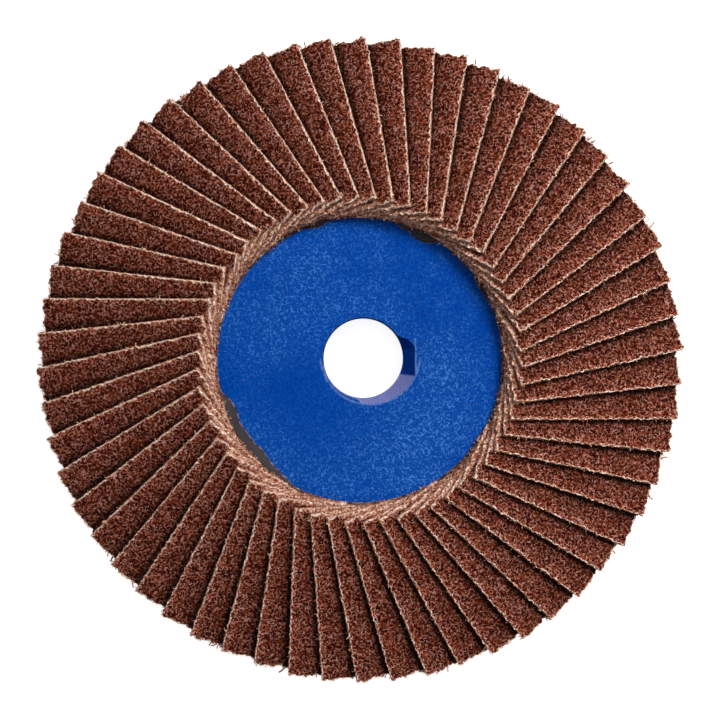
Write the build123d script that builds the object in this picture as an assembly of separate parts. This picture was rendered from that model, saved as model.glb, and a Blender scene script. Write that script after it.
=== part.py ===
from build123d import *
import math
import os

# Flap disc for an angle grinder: a moulded plastic backing plate, a ring of cured resin on its
# conical annulus, and a fan of overlapping rectangular flaps of coarse abrasive cloth.
# Millimetres. Origin: centre of the arbor hole on the back clamping face. +Z: towards the work.

os.makedirs("parts", exist_ok=True)

# ---- driving dimensions -------------------------------------------------------------------
DISC_D = 180.0            # over the outer corners of the flaps
BORE_D = 22.23            # arbor hole

HUB_T = 5.5               # clamped thickness, from the back seat to the flat front
SEAT_D = 46.0             # back seat for the grinder's inner flange
HUB_DRAFT = 0.8           # how far the back hub widens up to the web
WEB_T = 2.8               # wall of the flat centre and of the cone
FLAT_R = 38.5             # edge of the flat centre, where the cone starts
CONE_DEG = 7.0            # slope of the annulus, falling outwards
PLATE_D = 160.0           # backing plate, which the flaps overhang
RIM_W = 3.2               # wall of the back rim
RIM_DROP = 3.4            # how far the back rim hangs below the web at the plate's edge
EDGE_CHAMFER = 0.5
RIBS = 24                 # radial ribs at the back
RIB_T = 1.8
RIB_SET_BACK = 0.7        # ribs end this far short of the seat and of the rim's foot

LAND_L = 3.0              # full round part of the arbor hole, at the back
RELIEF_R = 13.9           # arc of the moulded relief in front of that land
RELIEF_AT = (1.9, 1.0)    # centre of that arc
RELIEF_FLAT_X = 14.5      # straight side of the relief
RELIEF_TAPER = 0.77       # the relief's outline at its foot, as a share of its mouth
BORE_CHAMFER = 0.35

FLAPS = 58
FLAP_W = 20.0             # blank width, from the raised edge to the buried edge
FLAP_T = 1.3              # cloth with its coat of grain
FLAP_GAP = 0.23           # air between neighbouring flaps, square to their faces
FLAP_FACETS = 4           # flat facets along a flap's twist
FLAP_IN_R = 44.3          # raised inner corner
LEAD_OFFSET = 15.8        # distance from the fan's centre to the line of a raised edge
FIRST_FLAP_DEG = 12.2
FAN_AT = (-1.0, -0.5)     # the fan was laid a little off the arbor's axis

RESIN_T = 1.6             # bed of resin, square to the plate
RESIN_UNDER = 0.4         # resin below a buried edge
RESIN_IN_R = 39.6         # inner edge of the bed
RESIN_EDGE = 1.4          # width of its rounded-off inner edge
RESIN_SET_BACK = 2.0      # bed ends this far inside the plate's edge
BEAD_T = 0.75             # height of the beads that ran in over the flat centre
# Beads of resin inside the bed: middle angle, half angle, how far the bead ran in.
BEADS = (
    (217.5, 27.0, 2.5), (202.0, 9.5, 2.7), (222.5, 10.0, 2.9),
    (63.5, 7.5, 2.6), (70.0, 6.5, 1.4), (107.5, 6.0, 1.0), (30.0, 8.0, 0.9),
)

# ---- derived ------------------------------------------------------------------------------
BORE_R = BORE_D / 2
DISC_R = DISC_D / 2
SEAT_R = SEAT_D / 2
PLATE_R = PLATE_D / 2
PITCH = math.radians(360.0 / FLAPS)
SLOPE = math.tan(math.radians(CONE_DEG))


def front_z(r):
    """Height of the plate's front at radius r."""
    return HUB_T - max(0.0, r - FLAT_R) * SLOPE


def polar(r, deg, z=0.0):
    return (r * math.cos(math.radians(deg)), r * math.sin(math.radians(deg)), z)


RIM_Z = front_z(PLATE_R) - WEB_T - RIM_DROP


# ---- backing plate ------------------------------------------------------------------------
def plate_body():
    """The turned form: hub, flat web, cone and back rim."""
    under = HUB_T - WEB_T
    inner = PLATE_R - RIM_W
    c = EDGE_CHAMFER
    section = Polyline(
        (0, 0), (SEAT_R, 0), (SEAT_R + HUB_DRAFT, under), (FLAT_R, under),
        (inner, front_z(inner) - WEB_T), (inner + c / 2, RIM_Z),
        (PLATE_R - c, RIM_Z), (PLATE_R, RIM_Z + c), (PLATE_R, front_z(PLATE_R) - c),
        (PLATE_R - c, front_z(PLATE_R - c)), (FLAT_R, HUB_T), (0, HUB_T), close=True,
    )
    return revolve(Plane.XZ * make_face(section), Axis.Z)


def rib():
    """One radial rib at +X, from the hub to the rim, with its foot following both."""
    hub, rim = SEAT_R - HUB_DRAFT, PLATE_R - RIM_W + EDGE_CHAMFER / 2
    middle = HUB_T - WEB_T / 2
    side = Polyline(
        (hub, RIB_SET_BACK), (rim, RIM_Z + RIB_SET_BACK), (rim, front_z(rim) - WEB_T / 2),
        (FLAT_R, middle), (hub, middle), close=True,
    )
    return extrude(Plane.XZ * make_face(side), RIB_T / 2, both=True)


def relief_outline(scale, z):
    """Mouth of the moulded relief: an arc cut by one upright flat and two slanting sides."""
    corner = RELIEF_R + abs(RELIEF_AT[0]) + abs(RELIEF_AT[1])
    sides = Polyline(
        (0, 0.82 * BORE_R), (0.86 * RELIEF_FLAT_X, 0.48 * BORE_R), (RELIEF_FLAT_X, 0.27 * BORE_R),
        (RELIEF_FLAT_X, -corner), (0.16 * RELIEF_FLAT_X, -corner), (-0.12 * BORE_R, -1.065 * BORE_R),
        (-0.73 * BORE_R, -0.67 * BORE_R), close=True,
    )
    mouth = make_face(sides) & (Pos(*RELIEF_AT) * Circle(RELIEF_R))
    return Pos(0, 0, z) * scale_sketch(mouth, scale)


def scale_sketch(sketch, factor):
    return scale(sketch.face(), by=factor)


def relief():
    """Funnel from the relief's mouth in the flat front down to the round land."""
    depth = HUB_T - LAND_L
    above = 1 + (1 - RELIEF_TAPER) * 1.0 / depth
    funnel = loft([relief_outline(RELIEF_TAPER, LAND_L), relief_outline(above, HUB_T + 1.0)],
                  ruled=True)
    return funnel


def bore():
    """Arbor hole, sharp at the back seat and with a small chamfer in front."""
    c = BORE_CHAMFER
    section = Polyline(
        (0, -1), (BORE_R, -1), (BORE_R, HUB_T - c),
        (BORE_R + c + 1, HUB_T + 1), (0, HUB_T + 1), close=True,
    )
    return revolve(Plane.XZ * make_face(section), Axis.Z)


def backing_plate():
    ribs = [Rotation(0, 0, 360.0 / RIBS * i) * rib() for i in range(RIBS)]
    return plate_body() + ribs - bore() - relief()


# ---- flaps --------------------------------------------------------------------------------
def run_at(r):
    """How far along its raised edge a flap reaches radius r."""
    return math.sqrt(r * r - LEAD_OFFSET ** 2)


def tilt(r):
    """A flap leans on the one below it, so it lies flatter where the fan has spread."""
    return math.asin((FLAP_T + FLAP_GAP) / (PITCH * run_at(r)))


def flap_section(run, lifts):
    """Corners of the flap's section at a run along its raised edge: raised top, buried top,
    buried foot, raised foot. The raised edge is straight and the section is square to it."""
    start, end = run_at(FLAP_IN_R), run_at(DISC_R)
    share = (run - start) / (end - start)
    lead = Vector(end - start, 0, lifts[1] - lifts[0]).normalized()
    lean = tilt(math.hypot(run, LEAD_OFFSET))
    across = Vector(0, 1, 0)
    up = Vector(-lead.Z, 0, lead.X)
    width = across * math.cos(lean) - up * math.sin(lean)
    normal = across * math.sin(lean) + up * math.cos(lean)
    raised = Vector(run, -LEAD_OFFSET, lifts[0] + share * (lifts[1] - lifts[0]))
    buried = raised + width * FLAP_W
    return [raised, buried, buried - normal * FLAP_T, raised - normal * FLAP_T]


def flap_lifts():
    """Heights of the raised edge's two ends that seat the buried foot in the resin."""
    lifts = [front_z(FLAP_IN_R), front_z(DISC_R)]
    for _ in range(12):
        for i, r in enumerate((FLAP_IN_R, DISC_R)):
            foot = flap_section(run_at(r), lifts)[2]
            lifts[i] += front_z(math.hypot(foot.X, foot.Y)) + RESIN_UNDER - foot.Z
    return lifts


def flap_blank():
    """One flap about the fan's centre, its raised edge over +X: a slightly twisted strip of
    flat facets between evenly spaced sections."""
    lifts = flap_lifts()
    start, end = run_at(FLAP_IN_R), run_at(DISC_R)
    rows = [flap_section(start + (end - start) * i / FLAP_FACETS, lifts)
            for i in range(FLAP_FACETS + 1)]
    faces = [facet(*rows[0]), facet(*rows[-1])]
    for near, far in zip(rows, rows[1:]):
        for i in range(4):
            j = (i + 1) % 4
            faces += [facet(near[i], near[j], far[i]), facet(near[j], far[j], far[i])]
    return Solid(Shell(faces))


def facet(*corners):
    return Face(Wire.make_polygon(corners, close=True))


def flap_angle(i):
    """Even pitch with the slow drift and the small scatter of flaps laid one by one."""
    deg = FIRST_FLAP_DEG + 360.0 / FLAPS * i
    t = math.radians(deg)
    drift = 0.34 * math.cos(t + 0.97) - 0.37 * math.cos(2 * t)
    return deg + drift + 0.09 * math.sin(2.3 * i * i)


def flaps():
    blank = flap_blank()
    return [Pos(*FAN_AT, 0) * Rotation(0, 0, flap_angle(i)) * blank for i in range(FLAPS)]


# ---- resin --------------------------------------------------------------------------------
def resin_bed():
    """Conical bed in flat steps, one to a flap, drawn through into the plate so that the plate
    itself trims its underside."""
    outer = PLATE_R - RESIN_SET_BACK
    sunk = WEB_T / 2
    crest = RESIN_IN_R + RESIN_EDGE
    shoulder = outer - RESIN_T
    section = [
        (RESIN_IN_R, HUB_T - sunk), (RESIN_IN_R, front_z(RESIN_IN_R) + 0.1),
        (RESIN_IN_R + 0.35 * RESIN_EDGE, front_z(crest) + 0.6 * RESIN_T),
        (crest, front_z(crest) + RESIN_T), (shoulder, front_z(shoulder) + RESIN_T),
        (outer, front_z(outer)), (outer, front_z(outer) - sunk),
    ]
    turns = [360.0 / FLAPS * i for i in range(FLAPS)]
    rows = [[Vector(*polar(r, deg, z)) for r, z in section] for deg in turns]
    faces = []
    for near, far in zip(rows, rows[1:] + rows[:1]):
        for i in range(len(section)):
            j = (i + 1) % len(section)
            faces.append(facet(near[i], near[j], far[j], far[i]))
    return Pos(*FAN_AT, 0) * Solid(Shell(faces))


def bead(middle, half, ran_in):
    """A lens of resin that ran in over the flat centre."""
    root, back = RESIN_IN_R + 0.2, RESIN_IN_R + RESIN_EDGE
    reach = RESIN_IN_R - ran_in
    a, b = middle - half, middle + half
    outline = [
        Line(polar(root, a), polar(back, a)),
        ThreePointArc(polar(back, a), polar(back, middle), polar(back, b)),
        Line(polar(back, b), polar(root, b)),
        ThreePointArc(polar(root, b), polar(reach, middle), polar(root, a)),
    ]
    foot = HUB_T - WEB_T / 2
    low = extrude(Pos(*FAN_AT, foot) * make_face(outline), HUB_T - foot)
    cap = extrude(Pos(*FAN_AT, HUB_T) * make_face(outline), BEAD_T, taper=32)
    return low + cap


def adhesive(plate, fan):
    bed = resin_bed()
    for item in BEADS:
        bed = bed + bead(*item)
    return bed - plate - fan


# ---- export -------------------------------------------------------------------------------
PLATE = backing_plate()
FAN = flaps()
export_step(PLATE, "parts/backing_plate.step")
export_step(adhesive(PLATE, FAN), "parts/adhesive.step")
for number, flap in enumerate(FAN, 1):
    export_step(flap, f"parts/flap_{number:02d}.step")
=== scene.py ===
import math

import bpy
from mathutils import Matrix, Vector


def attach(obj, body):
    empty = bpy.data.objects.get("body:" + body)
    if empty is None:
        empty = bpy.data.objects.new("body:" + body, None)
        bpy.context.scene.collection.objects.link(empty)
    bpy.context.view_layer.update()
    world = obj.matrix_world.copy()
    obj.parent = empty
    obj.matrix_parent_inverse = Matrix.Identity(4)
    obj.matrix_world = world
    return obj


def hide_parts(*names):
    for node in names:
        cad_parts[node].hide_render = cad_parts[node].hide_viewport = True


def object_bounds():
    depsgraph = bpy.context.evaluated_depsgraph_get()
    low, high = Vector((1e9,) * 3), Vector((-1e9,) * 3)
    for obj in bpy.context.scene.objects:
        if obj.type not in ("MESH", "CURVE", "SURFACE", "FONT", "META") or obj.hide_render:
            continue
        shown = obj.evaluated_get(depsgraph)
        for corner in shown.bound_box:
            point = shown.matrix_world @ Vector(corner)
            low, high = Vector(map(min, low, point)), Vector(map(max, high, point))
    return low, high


# Flap disc: moulded plate, resin and 58 flaps of coarse abrasive cloth. Metres, the part's own frame.
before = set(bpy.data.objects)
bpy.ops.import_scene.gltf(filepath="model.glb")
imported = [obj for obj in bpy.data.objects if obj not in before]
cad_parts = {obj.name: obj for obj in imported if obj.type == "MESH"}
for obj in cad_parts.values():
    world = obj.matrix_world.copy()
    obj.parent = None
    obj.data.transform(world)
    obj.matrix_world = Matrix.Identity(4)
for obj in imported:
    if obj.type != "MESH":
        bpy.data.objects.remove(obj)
cad_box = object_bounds()
MM = 0.001

# ---- sizes of the flaps, as in the part -----------------------------------------------------
FLAPS = 58
DISC_R = 90.0 * MM
FLAP_IN_R = 44.3 * MM
FLAP_W = 20.0 * MM
FLAP_T = 1.3 * MM
FLAP_GAP = 0.23 * MM
LEAD_OFFSET = 15.8 * MM                  # from the fan's centre to the line of a raised edge
FIRST_FLAP_DEG = 12.2
FAN_AT = Vector((-1.0 * MM, -0.5 * MM, 0.0))
RAISED_Z = (13.62 * MM, 4.23 * MM)       # the raised edge's inner and outer ends
GRAIN_COAT = 0.45 * MM                   # grain and size coat on the cloth
PITCH = math.radians(360 / FLAPS)
RUN_START = math.sqrt(FLAP_IN_R ** 2 - LEAD_OFFSET ** 2)
FLAP_LENGTH = math.sqrt(DISC_R ** 2 - LEAD_OFFSET ** 2) - RUN_START
SHOWN_W = 11.8 * MM                      # the width of a flap that the next one leaves bare

# ---- sizes of the plate, as in the part ------------------------------------------------------
BORE_R = 22.23 / 2 * MM
HUB_T = 5.5 * MM
RELIEF_R = 13.9 * MM                     # the moulded relief beside the arbor hole
RELIEF_AT = (1.9 * MM, 1.0 * MM, 0.0)
RELIEF_FLAT_X = 14.5 * MM
RELIEF_FLAT_Y = 0.6 * MM                 # middle of the relief's straight side
RELIEF_FLAT_HALF = 5.0 * MM              # half its length
RELIEF_REACH = 16.0 * MM                 # nothing of the relief lies further out
RESIN_RIM_T = 0.9 * MM                   # height over which the resin's thin rim rises

# ---- camera --------------------------------------------------------------------------------
VIEW_HEIGHT = 450 * MM                   # above the flaps' outer corners
SENSOR_WIDTH = 36.0                      # millimetres, as is the lens
PIXELS = 720
DISC_PIXELS = 323.0                      # the disc's radius in the frame
CENTRE_PIXEL = (359.7, 360.0)


def camera():
    """Straight above the disc."""
    metres_per_pixel = DISC_R / DISC_PIXELS
    data = bpy.data.cameras.new("camera")
    data.sensor_width = SENSOR_WIDTH
    data.lens = SENSOR_WIDTH * VIEW_HEIGHT / (metres_per_pixel * PIXELS)
    off_middle = Vector((CENTRE_PIXEL[0] - PIXELS / 2, PIXELS / 2 - CENTRE_PIXEL[1], 0))
    at = FAN_AT - off_middle * metres_per_pixel
    cam = bpy.data.objects.new("camera", data)
    cam.location = (at.x, at.y, RAISED_Z[1] + VIEW_HEIGHT)
    bpy.context.collection.objects.link(cam)
    bpy.context.scene.camera = cam


# ---- light and floor -----------------------------------------------------------------------
KEY = dict(at=(0.44, 0.51, 0.7), size=0.4, power=9.6)
OVERHEAD = dict(at=(0.0, 0.05, 0.95), size=0.6, power=1.5)
WORLD_LIGHT = 0.12                       # what the white surround gives the disc
FLOOR_GLOW = 0.84
FLOOR_HALF = 3.0
FLOOR_GREY = 0.8
WHITE = (1, 1, 1, 1)


def area_light(name, at, size, power):
    """A round lamp aimed at the middle of the disc."""
    data = bpy.data.lights.new(name, "AREA")
    data.shape, data.size, data.energy = "DISK", size, power
    lamp = bpy.data.objects.new(name, data)
    lamp.location = at
    lamp.rotation_euler = (-Vector(at)).to_track_quat("-Z", "Y").to_euler()
    bpy.context.collection.objects.link(lamp)


def seen_rays(tree):
    """1 for the camera, gloss and clear things, 0 for the light that falls on the disc."""
    path = tree.nodes.new("ShaderNodeLightPath")
    seen = path.outputs["Is Camera Ray"]
    for ray in ("Is Glossy Ray", "Is Transmission Ray"):
        either = tree.nodes.new("ShaderNodeMath")
        either.operation = "MAXIMUM"
        tree.links.new(seen, either.inputs[0])
        tree.links.new(path.outputs[ray], either.inputs[1])
        seen = either.outputs[0]
    return seen


def studio():
    area_light("key", **KEY)
    area_light("overhead", **OVERHEAD)
    world = bpy.data.worlds.new("studio")
    bpy.context.scene.world = world
    world.use_nodes = True
    tree = world.node_tree
    tree.nodes.clear()
    out = tree.nodes.new("ShaderNodeOutputWorld")
    mix = tree.nodes.new("ShaderNodeMixShader")
    for slot, strength in ((1, WORLD_LIGHT), (2, 1.0)):
        light = tree.nodes.new("ShaderNodeBackground")
        light.inputs["Color"].default_value = WHITE
        light.inputs["Strength"].default_value = strength
        tree.links.new(light.outputs[0], mix.inputs[slot])
    tree.links.new(seen_rays(tree), mix.inputs[0])
    tree.links.new(mix.outputs[0], out.inputs[0])


def floor_material():
    """White to the eye, with the disc's shadow kept."""
    mat = bpy.data.materials.new("floor")
    mat.use_nodes = True
    tree = mat.node_tree
    tree.nodes.clear()
    out = tree.nodes.new("ShaderNodeOutputMaterial")
    both = tree.nodes.new("ShaderNodeAddShader")
    diffuse = tree.nodes.new("ShaderNodeBsdfDiffuse")
    diffuse.inputs["Color"].default_value = (FLOOR_GREY, FLOOR_GREY, FLOOR_GREY, 1)
    glow = tree.nodes.new("ShaderNodeEmission")
    glow.inputs["Color"].default_value = WHITE
    strength = tree.nodes.new("ShaderNodeMath")
    strength.operation = "MULTIPLY"
    strength.inputs[1].default_value = FLOOR_GLOW
    tree.links.new(seen_rays(tree), strength.inputs[0])
    tree.links.new(strength.outputs[0], glow.inputs["Strength"])
    tree.links.new(diffuse.outputs[0], both.inputs[0])
    tree.links.new(glow.outputs[0], both.inputs[1])
    tree.links.new(both.outputs[0], out.inputs[0])
    return mat


def floor():
    z, s = cad_box[0][2], FLOOR_HALF
    mesh = bpy.data.meshes.new("floor")
    mesh.from_pydata([(-s, -s, z), (s, -s, z), (s, s, z), (-s, s, z)], [], [(0, 1, 2, 3)])
    obj = bpy.data.objects.new("floor", mesh)
    bpy.context.collection.objects.link(obj)
    mesh.materials.append(floor_material())


# ---- node helpers --------------------------------------------------------------------------
class Nodes:
    """Adds nodes to a tree and wires them: sockets are given as values or as other sockets."""

    def __init__(self, tree):
        self.tree = tree

    def add(self, kind, settings=None, **inputs):
        node = self.tree.nodes.new(kind)
        for name, value in (settings or {}).items():
            setattr(node, name, value)
        for name, value in inputs.items():
            self.set(node, name, value)
        return node

    def set(self, node, name, value):
        if isinstance(name, str):
            wanted = name.replace("_", " ").lower()
            socket = next(s for s in node.inputs if s.enabled and s.name.lower() == wanted)
        else:
            socket = node.inputs[name]
        if isinstance(value, bpy.types.NodeSocket):
            self.tree.links.new(value, socket)
        else:
            socket.default_value = value

    def math(self, operation, a, b=0.0):
        node = self.tree.nodes.new("ShaderNodeMath")
        node.operation = operation
        self.set(node, 0, a)
        self.set(node, 1, b)
        return node.outputs[0]

    def product(self, *factors):
        result = factors[0]
        for factor in factors[1:]:
            result = self.math("MULTIPLY", result, factor)
        return result

    def total(self, *terms):
        result = terms[0]
        for term in terms[1:]:
            result = self.math("ADD", result, term)
        return result

    def apart(self, a, b):
        return self.math("ABSOLUTE", self.math("SUBTRACT", a, b))

    def vector(self, operation, a, b=(0, 0, 0)):
        node = self.tree.nodes.new("ShaderNodeVectorMath")
        node.operation = operation
        self.set(node, 0, a)
        self.set(node, 1, b)
        return node.outputs["Value" if operation in ("LENGTH", "DISTANCE") else 0]

    def scaled(self, a, scale):
        node = self.tree.nodes.new("ShaderNodeVectorMath")
        node.operation = "SCALE"
        self.set(node, 0, a)
        self.set(node, "Scale", scale)
        return node.outputs[0]

    def split(self, a):
        return self.add("ShaderNodeSeparateXYZ", Vector=a).outputs

    def joined(self, x=0.0, y=0.0, z=0.0):
        return self.add("ShaderNodeCombineXYZ", X=x, Y=y, Z=z).outputs[0]

    def noise(self, at, scale, detail=2.0, rough=0.5, distortion=0.0):
        return self.add("ShaderNodeTexNoise", Vector=at, Scale=scale, Detail=detail, Roughness=rough,
                        Distortion=distortion).outputs[0]

    def cells(self, at, scale, feature="F1"):
        return self.add("ShaderNodeTexVoronoi", {"feature": feature}, Vector=at, Scale=scale, Randomness=1.0)

    def ramp(self, value, *stops):
        """stops are (position, grey or colour)."""
        node = self.tree.nodes.new("ShaderNodeValToRGB")
        points = node.color_ramp.elements
        while len(points) < len(stops):
            points.new(0.5)
        for point, (position, colour) in zip(points, stops):
            point.position = position
            point.color = (*colour, 1) if hasattr(colour, "__len__") else (colour, colour, colour, 1)
        self.set(node, 0, value)
        return node.outputs[0]

    def mix(self, share, a, b):
        node = self.tree.nodes.new("ShaderNodeMix")
        node.data_type = "RGBA"
        for socket, value in ((node.inputs["Factor"], share), (node.inputs[6], a), (node.inputs[7], b)):
            if isinstance(value, bpy.types.NodeSocket):
                self.tree.links.new(value, socket)
            elif hasattr(value, "__len__"):
                socket.default_value = (*value, 1)
            else:
                socket.default_value = value
        return node.outputs[2]

    def bump(self, height, strength, distance, normal=None):
        node = self.tree.nodes.new("ShaderNodeBump")
        node.inputs["Strength"].default_value = strength
        node.inputs["Distance"].default_value = distance
        self.set(node, "Height", height)
        if normal is not None:
            self.set(node, "Normal", normal)
        return node.outputs[0]


def new_material(name, roughness, specular):
    """A material, its nodes, its shader, and each point's place on the object."""
    mat = bpy.data.materials.new(name)
    mat.use_nodes = True
    shader = mat.node_tree.nodes["Principled BSDF"]
    shader.inputs["Roughness"].default_value = roughness
    shader.inputs["Specular IOR Level"].default_value = specular
    nodes = Nodes(mat.node_tree)
    at = nodes.add("ShaderNodeTexCoord").outputs["Object"]
    return mat, nodes, shader, at


def flap_uv(n):
    """Millimetres from the flap's inner end and from its raised edge."""
    return n.add("ShaderNodeUVMap", {"uv_map": "flap"}).outputs[0]


# ---- grain ---------------------------------------------------------------------------------
GRAIN_CELLS = 1900.0                     # grains along a metre
CREST_CELLS = 1100.0
# tones of the grains at random, the darkest standing for painted shade in hollows
GRAIN_TONES = ((0.015, 0.0013, 0.0006), (0.052, 0.0078, 0.0035), (0.19, 0.037, 0.015))
# rosy and pale painted highlight for the crest lines
ROSY_HIGHLIGHT, PALE_HIGHLIGHT = (0.42, 0.16, 0.11), (0.5, 0.24, 0.19)
THREAD_TONES = ((0.36, 0.12, 0.05), (0.8, 0.46, 0.3), (1.0, 0.86, 0.74))
STUB_TONES = ((0.22, 0.05, 0.02), (0.6, 0.26, 0.15), (1.0, 0.74, 0.58))
GRAIN_BRIGHTNESS = 1.6
# Light that reaches the face, against the share of the way to the next flap's edge.
CONTACT_SHADE = ((0.0, 1.0), (0.12, 0.9), (0.22, 0.7), (0.34, 0.625), (0.5, 0.6), (0.62, 0.52),
                 (0.71, 0.47), (0.78, 0.38), (0.83, 0.23), (0.89, 0.1))
SHADE_RAGGED = 0.12                      # how far the shade's edge wanders, as such a share
SHADE_FREE_LENGTH = 7.0                  # millimetres at the inner end where the shade is thinner
FRINGE_LENGTH = 4.0                      # millimetres of stubs at the inner end, beside the next flap
FRAY_HIDES = 0.97                        # share of the grain that a frayed strip hides


def crooked_lines(n, at, per_metre, thin, thick, kept=0.5):
    """Short crooked lines: 1 on the lines, broken up by a coarser noise that keeps about half of them."""
    warp = n.add("ShaderNodeTexNoise", Vector=at, Scale=per_metre * 0.82, Detail=1.0).outputs[1]
    moved = n.vector("ADD", at, n.scaled(warp, 1.0 / per_metre))
    to_line = n.cells(moved, per_metre, "DISTANCE_TO_EDGE").outputs["Distance"]
    lines = n.ramp(to_line, (thin, 1.0), (thick, 0.0))
    broken = n.noise(n.vector("ADD", at, (0.2, 0.1, 0.3)), per_metre * 1.18, 1.0, 0.5)
    return n.product(lines, n.ramp(broken, (kept - 0.04, 0.0), (kept + 0.04, 1.0)))


def grain_colour(n, at, crest_highlight):
    """Random tones per grain, the darkest painted shade of hollows, and broken lines of painted highlight on the
    crests.
    """
    tone = n.add("ShaderNodeSeparateColor", Color=n.cells(at, GRAIN_CELLS).outputs["Color"]).outputs[0]
    body = n.ramp(tone, *zip((0.0, 0.5, 0.95), GRAIN_TONES))
    # painted highlight on the crest lines, rosy or pale by a coarse noise
    pale = n.mix(n.ramp(n.noise(at, 300.0, 2.0), (0.35, 0.0), (0.65, 1.0)), ROSY_HIGHLIGHT, PALE_HIGHLIGHT)
    return n.mix(crest_highlight, body, pale)


def contact_shade(n, at, along, bare):
    """Less light towards the next flap, but for the inner end, which stays open."""
    m = n.math
    ragged = n.product(m("SUBTRACT", n.noise(at, 900.0, 1.0), 0.5), SHADE_RAGGED)
    opened = n.ramp(m("DIVIDE", along, SHADE_FREE_LENGTH), (0.12, 0.6), (0.35, 0.0))
    shade = m("SUBTRACT", n.total(m("MINIMUM", bare, 1.0), ragged),
              n.product(opened, m("GREATER_THAN", bare, 0.45)))
    return n.ramp(shade, *CONTACT_SHADE)


def frayed_strip(n, at, along, across):
    """1 along the raised edge and both ends, with a ragged limit."""
    m = n.math
    ragged = n.product(m("SUBTRACT", n.noise(at, 800.0, 3.0, 0.75), 0.5), 2.0)
    to_inner = n.product(along, n.total(0.6, n.product(across, 0.12)))
    to_end = m("MINIMUM", to_inner, m("SUBTRACT", FLAP_LENGTH / MM, along))
    nearest = m("MINIMUM", n.product(across, 1.3), to_end)
    return n.ramp(n.total(nearest, ragged), (0.04, 1.0), (0.2, 0.8), (0.42, 0.0))


def grain_material():
    """Reddish brown grain in its size coat, frayed to bare cloth along the edges."""
    mat, n, shader, at = new_material("abrasive_grain", 0.85, 0.02)
    m = n.math
    along, across = n.split(flap_uv(n))[:2]
    # bare is 1 under the next flap's edge
    bare = m("DIVIDE", across, n.product(n.total(along, RUN_START / MM), PITCH))
    # lines of painted highlight along the grains' crests, also used as bumps
    crest_highlight = crooked_lines(n, at, CREST_CELLS, 0.04, 0.11)
    body = n.vector("MULTIPLY", grain_colour(n, at, crest_highlight), contact_shade(n, at, along, bare))
    body = n.scaled(body, GRAIN_BRIGHTNESS)
    strand = n.noise(at, 1500.0, 2.0, 0.7)
    thread = n.ramp(strand, *zip((0.4, 0.48, 0.56), THREAD_TONES))
    stub = n.ramp(strand, *zip((0.41, 0.5, 0.59), STUB_TONES))
    fringe = n.product(n.ramp(bare, (0.8, 0.0), (1.0, 0.85)),
                       n.ramp(m("DIVIDE", along, FRINGE_LENGTH), (0.1, 1.0), (0.35, 0.0)))
    frayed = n.product(frayed_strip(n, at, along, across), FRAY_HIDES)
    body = n.mix(frayed, n.mix(fringe, body, stub), n.mix(fringe, thread, stub))
    n.set(shader, "Base Color", body)
    n.set(shader, "Normal", n.bump(n.product(crest_highlight, 0.3), 0.9, 0.3 * MM))
    return mat


# ---- cloth ---------------------------------------------------------------------------------
# thread tones of the cut edge, darker than the size coat's edge above as painted shade
CUT_TONES_AND_SHADE = ((0.24, 0.06, 0.022), (0.6, 0.25, 0.135), (1.0, 0.72, 0.53))
CUT_STAIN = (0.3, 0.085, 0.035)
LOOSE_TONES = ((0.19, 0.032, 0.01), (0.55, 0.2, 0.1), (1.0, 0.74, 0.56))
SIZE_TONES = ((0.4, 0.13, 0.055), (0.9, 0.58, 0.4), (1.0, 0.9, 0.78))
WEAVE_PITCH = 0.7                        # millimetres for one thread over and one under
WEAVE_LOW, WEAVE_HIGH, WEAVE_STAIN = (0.2, 0.1, 0.06), (0.36, 0.21, 0.13), (0.14, 0.06, 0.035)


def cut_material():
    """Cut edge of the cloth: threads stained with brown size, paler in places, and painted shade that keeps them
    darker than the size coat's edge above.
    """
    mat, n, shader, at = new_material("cut_cloth", 0.9, 0.05)
    threads = n.noise(at, 1800.0, 2.0, 0.6)
    stain = n.noise(at, 420.0, 3.0, 0.6)
    # tones darker than the size coat's edge above: painted shade of the lower cut edge
    body = n.ramp(threads, *zip((0.38, 0.5, 0.62), CUT_TONES_AND_SHADE))
    body = n.mix(n.ramp(stain, (0.46, 0.0), (0.6, 0.8)), body, CUT_STAIN)
    n.set(shader, "Base Color", body)
    n.set(shader, "Normal", n.bump(threads, 0.8, 0.2 * MM))
    return mat


def thread_material():
    """Loose threads: cream where they broke clean, brown where the size still holds them."""
    mat, n, shader, at = new_material("frayed_thread", 0.9, 0.05)
    soaked = n.noise(at, 900.0, 3.0, 0.7)
    n.set(shader, "Base Color", n.ramp(soaked, *zip((0.43, 0.52, 0.61), LOOSE_TONES)))
    return mat


def size_coat_material():
    """Edge of the size coat between grain and cloth."""
    mat, n, shader, at = new_material("size_coat_edge", 0.7, 0.05)
    speck = n.noise(at, 520.0, 4.0, 0.8)
    n.set(shader, "Base Color", n.ramp(speck, *zip((0.38, 0.46, 0.52), SIZE_TONES)))
    n.set(shader, "Normal", n.bump(speck, 0.9, 0.3 * MM))
    return mat


def cloth_back_material():
    """Woven back of the cloth, filled with brown size, on the flap's own length and width."""
    mat, n, shader, _ = new_material("cloth_back", 0.8, 0.12)
    uv = flap_uv(n)
    warp, weft = (n.math("SINE", n.product(way, 2 * math.pi / WEAVE_PITCH)) for way in n.split(uv)[:2])
    weave = n.total(n.product(warp, weft, 0.5), 0.5)
    slub = n.noise(uv, 0.8, 4.0, 0.6)
    body = n.mix(weave, WEAVE_LOW, WEAVE_HIGH)
    body = n.mix(n.ramp(slub, (0.4, 0.0), (0.7, 0.6)), body, WEAVE_STAIN)
    n.set(shader, "Base Color", body)
    n.set(shader, "Normal", n.bump(weave, 0.7, 0.12 * MM))
    return mat


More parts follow.
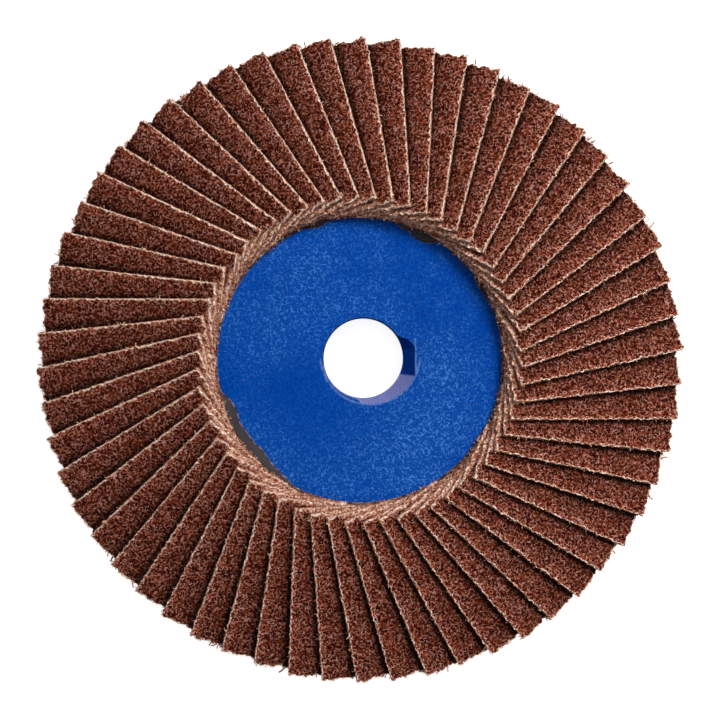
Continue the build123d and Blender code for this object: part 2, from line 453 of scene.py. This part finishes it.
# ---- plate ---------------------------------------------------------------------------------
BLUE_DEEP, BLUE_LIGHT, BLUE_BROAD = (0.0, 0.034, 0.25), (0.0, 0.068, 0.4), (0.0, 0.05, 0.34)
DUST_FILM, DUST_LINE, DUST_GRIT = (0.03, 0.16, 0.5), (0.06, 0.23, 0.66), (0.3, 0.42, 0.62)
# painted shade in navy for the relief's flat wall, and painted light with dust in lavender for its curved wall
SHADED_WALL_NAVY = (0.0, 0.018, 0.17)
LIT_WALL_DUST_LOW, LIT_WALL_DUST_HIGH = (0.12, 0.15, 0.4), (0.23, 0.24, 0.5)
WORN_BLUE = (0.2, 0.34, 0.62)
WIPED_AT = (-14.0 * MM, -16.0 * MM, 0.0) # middle of the spot with little dust
FRONT_SKIN = 0.12 * MM                   # nearer the front than this is the flat front
BACK_SKIN = 0.3 * MM


def dusted(n, at, flat, body, lines):
    """Abrasive dust: short pale wriggles, thick in some patches and nearly none in others."""
    place = n.vector("ADD", at, (0.031, 0.012, 0.0))
    patch = n.ramp(n.noise(place, 30.0, 4.0, 0.65), (0.38, 0.06), (0.66, 1.0))
    wiped = n.ramp(n.vector("DISTANCE", flat, WIPED_AT), (6 * MM, 0.25), (20 * MM, 1.0))
    patch = n.product(patch, wiped)
    body = n.mix(n.product(patch, 0.14), body, DUST_FILM)
    body = n.mix(n.product(lines, patch, 0.85), body, DUST_LINE)
    grit = n.ramp(n.cells(at, 330.0).outputs["Distance"], (0.05, 1.0), (0.09, 0.0))
    grit = n.product(grit, n.ramp(n.noise(at, 70.0, 2.0), (0.55, 0.0), (0.68, 0.4)))
    return n.mix(grit, body, DUST_GRIT)


def relieved(n, body, radius, x, y, z, mottle):
    """Walls of the relief: painted shade in navy on the flat side, and below it a lavender curve that is painted
    light and dust.
    """
    m = n.math
    sunk = n.product(m("LESS_THAN", radius, RELIEF_REACH), m("LESS_THAN", z, HUB_T - FRONT_SKIN),
                     m("GREATER_THAN", z, BACK_SKIN))
    slanted_y = n.total(y, n.product(x, 0.12))
    curve = n.ramp(n.product(n.total(slanted_y, 3 * MM), -1 / MM), (0.0, 0.0), (0.5, 1.0))
    # painted shade: navy on the relief's walls
    body = n.mix(n.product(sunk, 0.85), body, SHADED_WALL_NAVY)
    # painted light with dust: lavender on the curved wall
    return n.mix(n.product(sunk, curve, 0.9), body, n.mix(mottle, LIT_WALL_DUST_LOW, LIT_WALL_DUST_HIGH))


def worn_rim(n, at, flat, radius, x, y):
    """1 where dust is packed round the mouth of the relief and along the edge of the arbor hole."""
    m = n.math
    far = 1.0                            # metres, to rule a stretch out
    above = m("SUBTRACT", far, m("LESS_THAN", y, 0.0))
    to_arc = n.total(n.apart(n.vector("DISTANCE", flat, RELIEF_AT), RELIEF_R), above)
    past_side = m("GREATER_THAN", n.apart(y, RELIEF_FLAT_Y), RELIEF_FLAT_HALF)
    to_side = n.total(n.apart(x, RELIEF_FLAT_X), past_side)
    to_hole = n.apart(radius, BORE_R)
    nearest = m("MINIMUM", m("MINIMUM", to_arc, to_side), to_hole)
    ragged = n.product(n.noise(at, 900.0, 3.0, 0.7), 1.1 * MM)
    return n.ramp(n.product(n.total(nearest, ragged), 1 / MM), (0.45, 1.0), (0.95, 0.0))


def plate_material():
    """Blue moulded plastic: fine mottle, dust, a worn rim, and the relief's walls in painted shade and in painted
    light with dust.
    """
    mat, n, shader, at = new_material("blue_plate", 0.5, 0.015)
    x, y, z = n.split(at)
    flat = n.vector("MULTIPLY", at, (1, 1, 0))
    radius = n.vector("LENGTH", flat)
    mottle = n.noise(at, 1300.0, 2.0, 0.6)
    broad = n.noise(at, 34.0, 3.0, 0.55)
    lines = crooked_lines(n, at, 1200.0, 0.05, 0.14, 0.53)
    body = n.mix(n.ramp(mottle, (0.36, 0.0), (0.64, 1.0)), BLUE_DEEP, BLUE_LIGHT)
    body = n.mix(n.ramp(broad, (0.3, 0.45), (0.7, 0.0)), body, BLUE_BROAD)
    body = dusted(n, at, flat, body, lines)
    body = relieved(n, body, radius, x, y, z, mottle)
    on_front = n.math("GREATER_THAN", z, HUB_T - FRONT_SKIN)
    body = n.mix(n.product(worn_rim(n, at, flat, radius, x, y), on_front, 0.55), body, WORN_BLUE)
    n.set(shader, "Base Color", body)
    n.set(shader, "Roughness", n.ramp(mottle, (0.3, 0.4), (0.7, 0.6)))
    rough = n.bump(mottle, 0.5, 0.25 * MM)
    n.set(shader, "Normal", n.bump(lines, 0.3, 0.1 * MM, rough))
    return mat


# ---- resin ---------------------------------------------------------------------------------
RESIN_LOW, RESIN_HIGH = (0.032, 0.029, 0.033), (0.062, 0.057, 0.064)
# near-black tones for the resin towards the upper right
UPPER_RIGHT_LOW, UPPER_RIGHT_HIGH = (0.004, 0.004, 0.006), (0.02, 0.018, 0.022)
CRUST_TONES = ((0.02, 0.008, 0.004), (0.12, 0.045, 0.024), (0.5, 0.27, 0.17))


def resin_material():
    """Dark grey cured resin, blacker towards the upper right, brown at its thin rim."""
    mat, n, shader, at = new_material("cured_resin", 0.5, 0.1)
    x, y, z = n.split(at)
    cloud = n.noise(at, 160.0, 3.0, 0.6, 0.5)
    body = n.ramp(cloud, (0.3, RESIN_LOW), (0.7, RESIN_HIGH))
    # blacker towards the upper right
    towards_upper_right = n.ramp(n.total(n.product(n.total(x, y), 20.0), 0.5), (0.45, 0.0), (0.6, 1.0))
    body = n.mix(towards_upper_right, body, n.mix(cloud, UPPER_RIGHT_LOW, UPPER_RIGHT_HIGH))
    # brown size and dust caught on the thin rim over the plate
    speck = n.noise(at, 900.0, 3.0, 0.7)
    crust = n.ramp(speck, *zip((0.4, 0.5, 0.62), CRUST_TONES))
    height = n.math("DIVIDE", n.math("SUBTRACT", z, HUB_T), RESIN_RIM_T)
    body = n.mix(n.ramp(n.total(height, n.product(speck, 0.8)), (0.75, 1.0), (0.95, 0.0)), body, crust)
    n.set(shader, "Base Color", body)
    n.set(shader, "Roughness", n.ramp(cloud, (0.3, 0.4), (0.7, 0.6)))
    n.set(shader, "Normal", n.bump(n.noise(at, 500.0, 3.0, 0.6), 0.4, 0.3 * MM))
    return mat


# ---- flaps: how many points ----------------------------------------------------------------
STATIONS = 132       # points along a flap
SHOWN_COLUMNS = 33   # points across the width that the next flap leaves bare
FRINGE_COLUMNS = 21   # points across the rest, near the inner end
FRINGE_STATIONS = 7
HIDDEN_STATIONS, HIDDEN_COLUMNS = 16, 5    # the sides and the rest of the face, which the next flap hides
BACK_STATIONS, BACK_COLUMNS = 28, 7
COAT_ROWS, BACKING_ROWS = 2, 3             # points down the cut edges
MERGE = 1e-6
FACE_SKIN = 1e-5                           # nearer the face than this is on the face

# ---- flaps: how rough ----------------------------------------------------------------------
EDGE_FADE = 2.2 * MM                       # how fast the raised edge's wander dies out inwards
END_FADE = 1.2 * MM                        # and the ends'
SWELL_FADE = 1.0 * MM
LIFT_NOISE, EDGE_NOISE, END_NOISE = 60.0, 900.0, 520.0
TUFT_NOISE = 170.0
FLAP_INPUTS = {
    "Stations": STATIONS, "Shown columns": SHOWN_COLUMNS,
    "Inner radius": FLAP_IN_R, "Outer radius": DISC_R, "Lead offset": LEAD_OFFSET,
    "Raised inner": RAISED_Z[0], "Raised outer": RAISED_Z[1],
    "Flap width": FLAP_W, "Shown width": SHOWN_W, "Flap thickness": FLAP_T, "Coat thickness": GRAIN_COAT,
    "Lean rise": (FLAP_T + FLAP_GAP) / PITCH, "Turn": 0.0, "Centre": tuple(FAN_AT),
    "Frayed length": 2.4 * MM, "Fringe columns": FRINGE_COLUMNS,
    "Edge wander": 0.95 * MM, "Edge lift": 0.2 * MM, "End wander": 1.3 * MM, "End swell": 0.3,
    "End slip": 0.0, "Grain height": 0.1 * MM, "Grains per metre": 1400.0,
    "Edge threads per square metre": 2.4e6, "Edge thread length": 0.6 * MM, "Edge thread radius": 0.085 * MM,
    "End threads per square metre": 7.0e6, "End thread length": 0.75 * MM, "End thread radius": 0.06 * MM,
    "Seed": 1,
}

# ---- loose threads -------------------------------------------------------------------------
FRINGE_W = 17.5 * MM                       # width of the inner end that carries a fringe
SPARSE_W = 6.0 * MM                        # its part by the raised edge, with fewer and shorter threads
SPARSE_SHARE = 0.35
TUFT_LENGTH = 1.8 * MM                     # thick tufts on the raised edge, next to the inner end
TUFT_THREADS = 5e6
THREAD_BEND = ((0, 0, -0.1), (0.16, 0, 0.5), (-0.05, 0.1, 1.0))
THREAD_SIDES = 3
THREAD_TILT = 0.9
THREAD_SPIN = 6.3
END_SEED, TILT_SEED, LUCK_SEED = 100.0, 500.0, 900.0


def flap_angle(i):
    """Degrees of flap i: even steps, with the fan's slow drift and a small slip from flap to flap."""
    deg = FIRST_FLAP_DEG + 360.0 / FLAPS * i
    t = math.radians(deg)
    drift = 0.34 * math.cos(t + 0.97) - 0.37 * math.cos(2 * t)
    return deg + drift + 0.09 * math.sin(2.3 * i * i)


def new_tree(name, inputs):
    """A geometry tree with named inputs: an int, a float or a vector each, by its value."""
    tree = bpy.data.node_groups.new(name, "GeometryNodeTree")
    for label, value in inputs.items():
        kind = {int: "NodeSocketInt", float: "NodeSocketFloat"}.get(type(value), "NodeSocketVector")
        tree.interface.new_socket(label, in_out="INPUT", socket_type=kind).default_value = value
    tree.interface.new_socket("Geometry", in_out="OUTPUT", socket_type="NodeSocketGeometry")
    return Nodes(tree), tree.nodes.new("NodeGroupInput").outputs


def joined_geometry(n, parts):
    join = n.add("GeometryNodeJoinGeometry")
    for part in reversed(parts):
        n.tree.links.new(part, join.inputs[0])
    return join.outputs[0]


def position(n):
    return n.add("GeometryNodeInputPosition").outputs[0]


def fading(n, distance, over):
    return n.math("EXPONENT", n.math("DIVIDE", distance, -over))


def line_noise(n, given, where, per_metre, detail, shift):
    """Noise along a line, its own for each flap by the seed."""
    row = n.total(n.product(given["Seed"], 7.31), shift)
    return n.add("ShaderNodeTexNoise", {"noise_dimensions": "2D"}, Scale=per_metre, Detail=detail, Roughness=0.6,
                 Vector=n.joined(where, row)).outputs[0]


def wander(n, given, where, per_metre, reach, shift):
    away = n.math("SUBTRACT", line_noise(n, given, where, per_metre, 3.0, shift), 0.5)
    return n.product(away, n.product(reach, 2.0))


def flat_flap(n, given, length):
    """The flap as a flat box of grids, with each point's flat place kept as an attribute."""
    m = n.math
    materials = bpy.data.materials
    width, shown, coat = given["Flap width"], given["Shown width"], given["Coat thickness"]
    hidden = m("SUBTRACT", width, shown)
    backing = m("SUBTRACT", given["Flap thickness"], coat)
    frayed = given["Frayed length"]
    rest = m("SUBTRACT", length, frayed)
    mid, mid_shown = n.product(length, 0.5), n.product(shown, 0.5)
    mid_hidden = n.total(shown, n.product(hidden, 0.5))
    mid_rest = n.total(frayed, n.product(rest, 0.5))
    mid_coat = n.product(coat, -0.5)
    mid_backing = m("SUBTRACT", n.product(coat, -1.0), n.product(backing, 0.5))
    along, columns, fringe = given["Stations"], given["Shown columns"], given["Fringe columns"]
    quarter = math.pi / 2
    patches = []

    def patch(material, size, points, centre, turn=(0, 0, 0)):
        grid = n.add("GeometryNodeMeshGrid", Size_X=size[0], Size_Y=size[1], Vertices_X=points[0],
                     Vertices_Y=points[1])
        put = n.add("GeometryNodeTransform", Geometry=grid.outputs[0], Translation=n.joined(*centre),
                    Rotation=turn)
        patches.append(n.add("GeometryNodeSetMaterial", Geometry=put.outputs[0],
                             Material=materials[material]).outputs[0])

    patch("abrasive_grain", (length, shown), (along, columns), (mid, mid_shown, 0.0))
    patch("abrasive_grain", (frayed, hidden), (FRINGE_STATIONS, fringe), (n.product(frayed, 0.5), mid_hidden, 0.0))
    patch("abrasive_grain", (rest, hidden), (HIDDEN_STATIONS, HIDDEN_COLUMNS), (mid_rest, mid_hidden, 0.0))
    patch("cloth_back", (length, width), (BACK_STATIONS, BACK_COLUMNS),
          (mid, n.product(width, 0.5), n.product(given["Flap thickness"], -1.0)), (math.pi, 0, 0))
    for material, deep, z, rows in (("size_coat_edge", coat, mid_coat, COAT_ROWS),
                                    ("cut_cloth", backing, mid_backing, BACKING_ROWS)):
        patch(material, (length, deep), (along, rows), (mid, 0.0, z), (quarter, 0, 0))
        patch(material, (length, deep), (HIDDEN_STATIONS, rows), (mid, width, z), (-quarter, 0, 0))
        for x, way, over in ((0.0, -quarter, fringe), (length, quarter, HIDDEN_COLUMNS)):
            patch(material, (shown, deep), (columns, rows), (x, mid_shown, z), (quarter, 0, way))
            patch(material, (hidden, deep), (over, rows), (x, mid_hidden, z), (quarter, 0, way))
    box = n.add("GeometryNodeMergeByDistance", Geometry=joined_geometry(n, patches), Distance=MERGE).outputs[0]
    flat_at = position(n)
    box = n.add("GeometryNodeStoreNamedAttribute", {"data_type": "FLOAT_VECTOR", "domain": "POINT"}, Geometry=box,
                Name="flat_at", Value=flat_at).outputs[0]
    return n.add("GeometryNodeStoreNamedAttribute", {"data_type": "FLOAT2", "domain": "CORNER"}, Geometry=box,
                 Name="flap", Value=n.scaled(flat_at, 1 / MM)).outputs[0]


def twisted(n, given, box, start, length):
    """The box moved into the fan: each point's run along the flap sets how far the flap leans there."""
    m = n.math
    x, across, down = n.split(position(n))
    depth = n.product(down, -1.0)
    near_edge = fading(n, across, EDGE_FADE)
    upper = m("SUBTRACT", 1.0, m("DIVIDE", depth, given["Flap thickness"]))
    lift = n.product(wander(n, given, x, LIFT_NOISE, given["Edge lift"], 0.011), near_edge)
    sway = n.product(wander(n, given, x, EDGE_NOISE, given["Edge wander"], 0.023), near_edge, upper)
    reach_in = n.product(wander(n, given, across, END_NOISE, given["End wander"], 0.031), fading(n, x, END_FADE))
    reach_out = n.product(wander(n, given, across, END_NOISE, given["End wander"], 0.047),
                          fading(n, m("SUBTRACT", length, x), END_FADE))
    run = n.total(start, x, n.product(n.total(reach_in, reach_out), upper), given["End slip"])
    drop = m("SUBTRACT", given["Raised outer"], given["Raised inner"])
    slant = m("SQRT", n.total(n.product(length, length), n.product(drop, drop)))
    lead_x, lead_z = m("DIVIDE", length, slant), m("DIVIDE", drop, slant)
    lean = m("ARCSINE", m("DIVIDE", given["Lean rise"], run))
    sin, cos = m("SINE", lean), m("COSINE", lean)
    wide = n.joined(n.product(lead_z, sin), cos, n.product(lead_x, sin, -1.0))
    normal = n.joined(n.product(lead_z, cos, -1.0), sin, n.product(lead_x, cos))
    height = n.total(n.total(given["Raised inner"], lift),
                     m("DIVIDE", n.product(drop, m("SUBTRACT", run, start)), length))
    edge = n.joined(run, n.product(given["Lead offset"], -1.0), height)
    swollen = n.total(1.0, n.product(fading(n, x, SWELL_FADE), given["End swell"]))
    place = n.vector("ADD", edge, n.scaled(wide, n.total(across, sway)))
    place = n.vector("SUBTRACT", place, n.scaled(normal, n.product(depth, swollen)))
    place = n.add("ShaderNodeVectorRotate", {"rotation_type": "Z_AXIS"}, Vector=place, Angle=given["Turn"])
    place = n.vector("ADD", place.outputs[0], given["Centre"])
    return n.add("GeometryNodeSetPosition", Geometry=box, Position=place).outputs[0]


def flat_place(n):
    """Where each point was on the flat box: along, across and up."""
    kept = n.add("GeometryNodeInputNamedAttribute", {"data_type": "FLOAT_VECTOR"}, Name="flat_at")
    return n.split(kept.outputs[0])


def grained(n, given, strip):
    """Grains as angular bumps on the bare part of the face."""
    m = n.math
    _, across, up = flat_place(n)
    bare_face = n.product(m("GREATER_THAN", up, -FACE_SKIN), m("LESS_THAN", across, given["Shown width"]))
    at = position(n)
    outward = n.add("GeometryNodeInputNormal").outputs[0]
    pebble = n.cells(at, given["Grains per metre"]).outputs["Distance"]
    fine = n.noise(at, n.product(given["Grains per metre"], 1.7), 1.0)
    rise = n.total(n.product(m("SUBTRACT", 0.75, pebble), 0.75), n.product(m("SUBTRACT", fine, 0.5), 1.1))
    rise = n.product(m("SUBTRACT", rise, 0.55), bare_face, given["Grain height"])
    jitter = n.add("FunctionNodeRandomValue", {"data_type": "FLOAT_VECTOR"}, Min=(-1, -1, -1), Max=(1, 1, 1),
                   Seed=given["Seed"]).outputs[0]
    jitter = n.scaled(jitter, n.product(bare_face, given["Grain height"], 0.22))
    return n.add("GeometryNodeSetPosition", Geometry=strip,
                 Offset=n.vector("ADD", n.scaled(outward, rise), jitter)).outputs[0]


def threads(n, given, strip, roots_on, density, kind, seed, lengths):
    """Bent threads of one kind, stood on the cut edges at random and tilted."""
    m = n.math
    seed = n.total(given["Seed"], seed)
    length, radius = given[f"{kind} length"], given[f"{kind} radius"]
    roots = n.add("GeometryNodeDistributePointsOnFaces", Mesh=strip, Selection=roots_on, Density=density,
                  Seed=seed)
    start, middle, end = THREAD_BEND
    bend = n.add("GeometryNodeCurveQuadraticBezier", Resolution=2, Start=start, Middle=middle, End=end)
    profile = n.add("GeometryNodeCurvePrimitiveCircle", {"mode": "RADIUS"}, Resolution=THREAD_SIDES,
                    Radius=m("DIVIDE", radius, length))
    thread = n.add("GeometryNodeCurveToMesh", Curve=bend.outputs[0], Profile_Curve=profile.outputs[0]).outputs[0]
    tilt = n.add("FunctionNodeRandomValue", {"data_type": "FLOAT_VECTOR"}, Min=(-THREAD_TILT, -THREAD_TILT, 0),
                 Max=(THREAD_TILT, THREAD_TILT, THREAD_SPIN), Seed=n.total(seed, TILT_SEED)).outputs[0]
    aim = n.add("FunctionNodeRotateRotation", {"rotation_space": "LOCAL"}, Rotation=roots.outputs["Rotation"],
                Rotate_By=n.add("FunctionNodeEulerToRotation", Euler=tilt).outputs[0]).outputs[0]
    luck = n.add("FunctionNodeRandomValue", {"data_type": "FLOAT"}, Min=0.0, Max=1.0,
                 Seed=n.total(seed, LUCK_SEED)).outputs[1]
    grown = n.total(0.4, n.product(m("POWER", luck, 3.0), 1.3))
    made = n.add("GeometryNodeInstanceOnPoints", Points=roots.outputs["Points"], Instance=thread, Rotation=aim,
                 Scale=n.product(n.product(grown, lengths), length)).outputs[0]
    made = n.add("GeometryNodeRealizeInstances", Geometry=made).outputs[0]
    return n.add("GeometryNodeSetMaterial", Geometry=made,
                 Material=bpy.data.materials["frayed_thread"]).outputs[0]


def loose_threads(n, given, strip):
    """Short threads in tufts on the raised edge and the outer end, and a fringe on the inner end."""
    m = n.math
    x, across, _ = flat_place(n)
    cut = n.total(*(n.add("GeometryNodeMaterialSelection", Material=bpy.data.materials[name]).outputs[0]
                    for name in ("cut_cloth", "size_coat_edge")))
    at_inner = m("LESS_THAN", x, 0.05 * MM)
    inward = m("GREATER_THAN", across, SPARSE_W)
    on_edge = n.product(cut, m("LESS_THAN", across, given["Shown width"]), m("SUBTRACT", 1.0, at_inner))
    on_inner = n.product(cut, at_inner, m("LESS_THAN", across, FRINGE_W))
    tuft = m("POWER", n.product(line_noise(n, given, x, TUFT_NOISE, 2.0, 0.061), 1.45), 5.0)
    edge_density = n.total(n.product(given["Edge threads per square metre"], tuft),
                           n.product(m("LESS_THAN", x, TUFT_LENGTH), TUFT_THREADS))
    end_density = n.product(given["End threads per square metre"],
                            n.total(SPARSE_SHARE, n.product(inward, 1 - SPARSE_SHARE)))
    lengths = n.total(0.5, n.product(inward, 0.5))
    return [threads(n, given, strip, on_edge, edge_density, "Edge thread", 0.0, n.product(lengths, 2.0)),
            threads(n, given, strip, on_inner, end_density, "End thread", END_SEED, lengths)]


def flap_tree():
    """One flap: a strip of coated cloth built flat as a box, then twisted up into its place in the fan."""
    n, given = new_tree("flap", FLAP_INPUTS)
    m = n.math
    offset = given["Lead offset"]
    start, end = (m("SQRT", m("SUBTRACT", n.product(r, r), n.product(offset, offset)))
                  for r in (given["Inner radius"], given["Outer radius"]))
    length = m("SUBTRACT", end, start)
    strip = twisted(n, given, flat_flap(n, given, length), start, length)
    strip = grained(n, given, strip)
    fuzz = loose_threads(n, given, strip)
    strip = n.add("GeometryNodeRemoveAttribute", Geometry=strip, Name="flat_at").outputs[0]
    n.tree.links.new(joined_geometry(n, [strip] + fuzz), n.tree.nodes.new("NodeGroupOutput").inputs[0])
    return n.tree


def grown_from(tree, name, **values):
    """A plain mesh object made by a geometry tree, with its place in its mesh."""
    obj = bpy.data.objects.new(name, bpy.data.meshes.new(name))
    bpy.context.collection.objects.link(obj)
    modifier = obj.modifiers.new(tree.name, "NODES")
    modifier.node_group = tree
    for item in tree.interface.items_tree:
        if item.item_type == "SOCKET" and item.in_out == "INPUT":
            value = values.get(item.name.replace(" ", "_").lower(), item.default_value)
            modifier[item.identifier] = tuple(value) if hasattr(value, "__len__") else value
    graph = bpy.context.evaluated_depsgraph_get()
    mesh = bpy.data.meshes.new_from_object(obj.evaluated_get(graph), depsgraph=graph)
    obj.modifiers.clear()
    obj.data = mesh
    return obj


def dress_flaps():
    tree = flap_tree()
    for i in range(FLAPS):
        name = f"flap_{i + 1:02d}"
        slip = 0.35 * MM * math.sin(5.7 * i * i + 1.0)
        cloth = grown_from(tree, f"{name}_cloth", turn=math.radians(flap_angle(i)), end_slip=slip, seed=i + 1)
        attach(cloth, "root")
        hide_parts(name)


def cover(node, material):
    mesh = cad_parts[node].data
    mesh.materials.clear()
    mesh.materials.append(material)


# ---- the scene -----------------------------------------------------------------------------
bpy.context.scene.view_settings.view_transform = "Standard"
camera()
studio()
floor()
for make in (grain_material, size_coat_material, cut_material, thread_material, cloth_back_material):
    make()
cover("backing_plate", plate_material())
cover("adhesive", resin_material())
dress_flaps()
